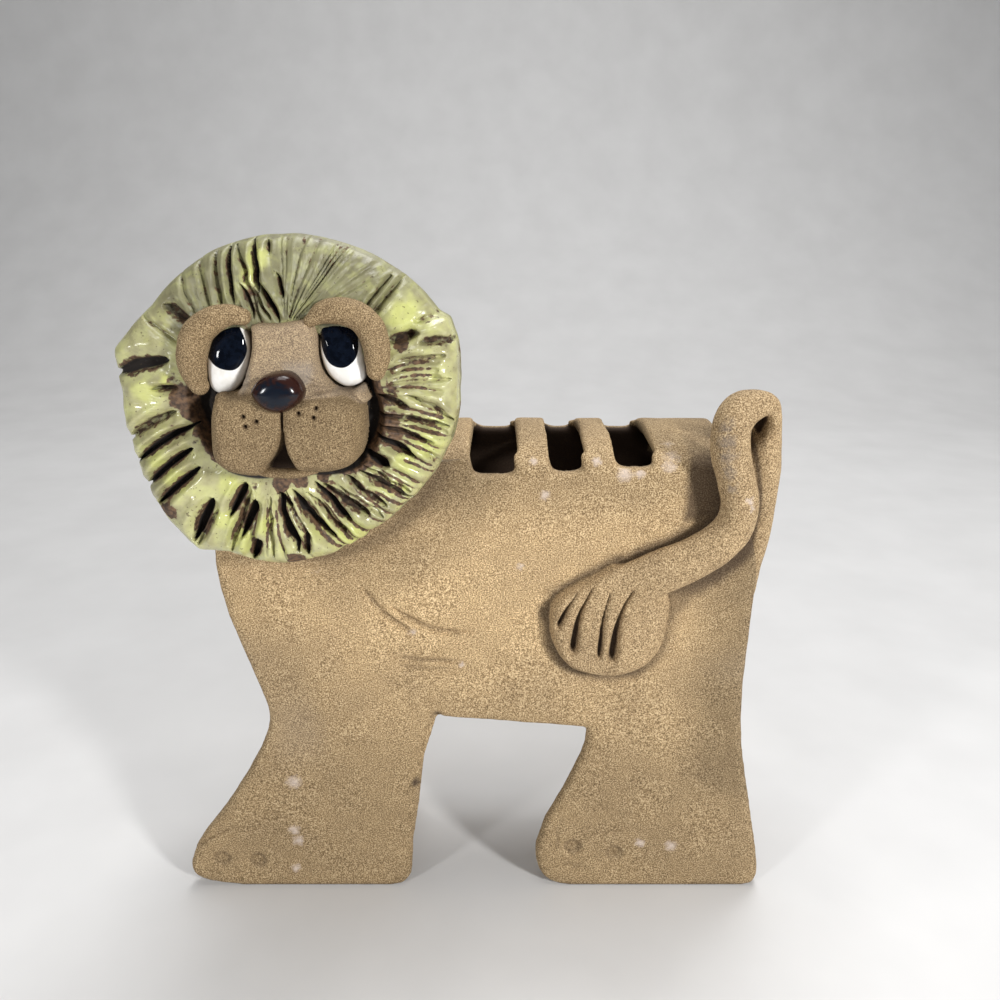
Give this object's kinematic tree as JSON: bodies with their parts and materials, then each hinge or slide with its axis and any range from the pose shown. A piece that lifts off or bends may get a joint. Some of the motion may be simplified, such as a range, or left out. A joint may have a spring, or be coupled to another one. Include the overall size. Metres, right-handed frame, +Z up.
{
  "type": "lion figurine",
  "caption": "Slab-built pottery lion with a round glazed mane, hollow body, slots across its back for slim things, and a looped tail",
  "frame": {"origin": "Middle of the bounding box in X and Y, at the height of the soles. The figure is 152 mm wide, 69 mm deep and 169 mm tall, so X runs -76 to 76, Y -34 to 34 and Z 0 to 169 mm.", "axes": "+Z is up. +X runs from the chest to the rump. The face, mane and tail tuft look along -Y, and the plain side looks along +Y."},
  "size_m": [0.1522, 0.0686, 0.1686],
  "materials": {
    "stoneware": "unglazed speckled tan stoneware",
    "brown_clay": "unglazed speckled brown stoneware",
    "mane_glaze": "glossy yellow-green glaze, brown to black in the grooves",
    "eye_glaze": "glossy white with a black top",
    "nose_glaze": "glossy dark brown to black"
  },
  "bodies": {
    "root": {"body": "stoneware", "tail": "stoneware", "face": "brown_clay", "lower_lip": "brown_clay", "left_brow": "brown_clay", "right_brow": "brown_clay", "mane": "mane_glaze", "left_eye": "eye_glaze", "right_eye": "eye_glaze", "nose": "nose_glaze"}
  },
  "joints": []
}
